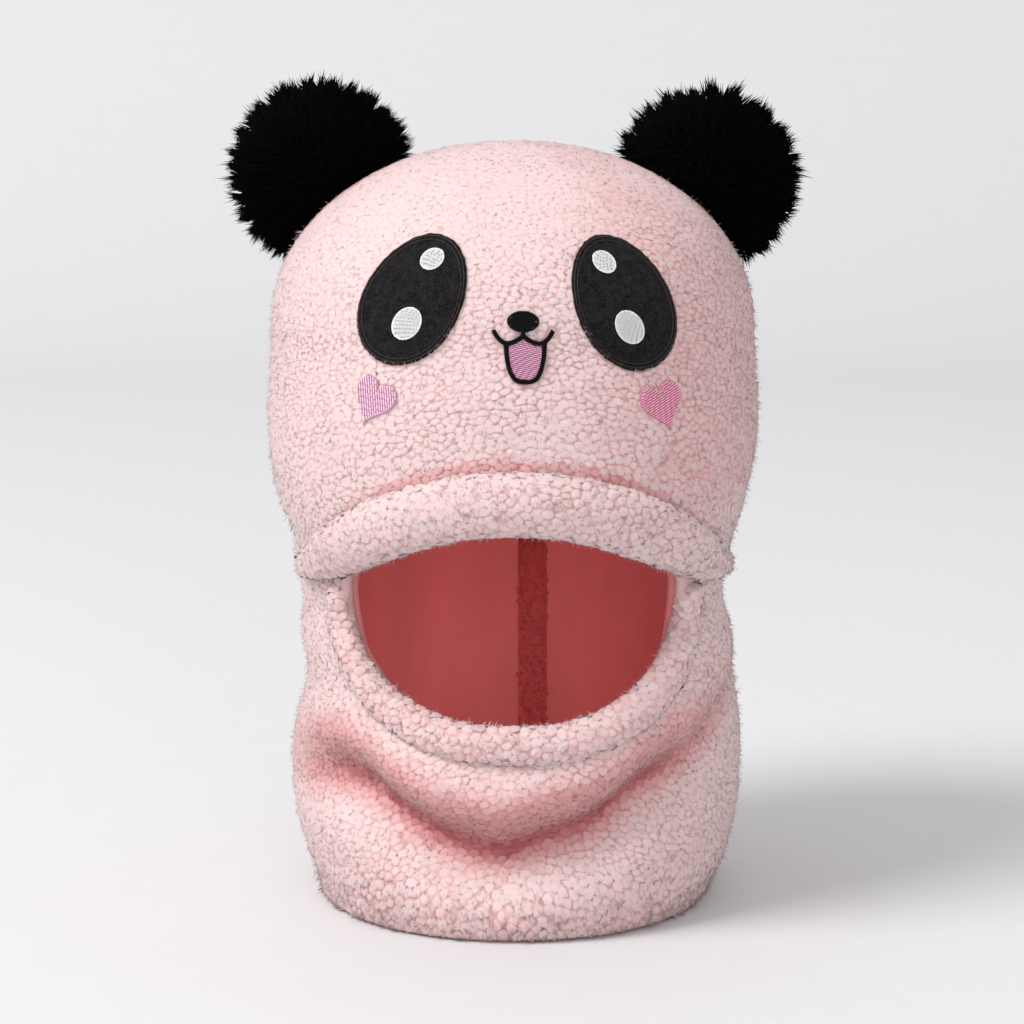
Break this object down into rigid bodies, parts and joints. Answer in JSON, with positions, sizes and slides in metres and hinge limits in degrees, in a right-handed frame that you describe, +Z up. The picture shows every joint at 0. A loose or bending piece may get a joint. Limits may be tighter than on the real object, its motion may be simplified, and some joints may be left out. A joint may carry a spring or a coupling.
{
  "type": "baby animal hat",
  "caption": "Soft plush hood that covers a small child's head and neck, with a hole for the face, a padded brim, round fur ears and an embroidered animal face",
  "frame": {"origin": "on the ground under the middle of the whole hood as it stands on its hem", "axes": "+Z up, the animal's face looks towards -Y, +X is to the right of someone who looks at the face"},
  "size_m": [0.2058, 0.1974, 0.2935],
  "materials": {
    "fleece_pink": "pale pink plush fleece with a short clumped pile",
    "lining_rose": "deep rose-red smooth jersey lining",
    "fur_black": "black plush fur in pointed locks",
    "felt_black": "matt black felt with a stitched edge",
    "thread_white": "white satin stitch with a silky sheen",
    "thread_black": "black satin stitch with a silky sheen",
    "thread_pink": "pink satin stitch with a silky sheen"
  },
  "bodies": {
    "root": {"hood_shell": "fleece_pink", "lining": "lining_rose", "back_seam": "lining_rose", "brim": "fleece_pink", "collar_roll": "fleece_pink", "ear_left": "fur_black", "ear_right": "fur_black", "eye_left": "felt_black", "eye_right": "felt_black", "glint_upper_left": "thread_white", "glint_lower_left": "thread_white", "glint_upper_right": "thread_white", "glint_lower_right": "thread_white", "heart_left": "thread_pink", "heart_right": "thread_pink", "nose": "thread_black", "mouth": "thread_black", "tongue": "thread_pink"}
  },
  "joints": []
}
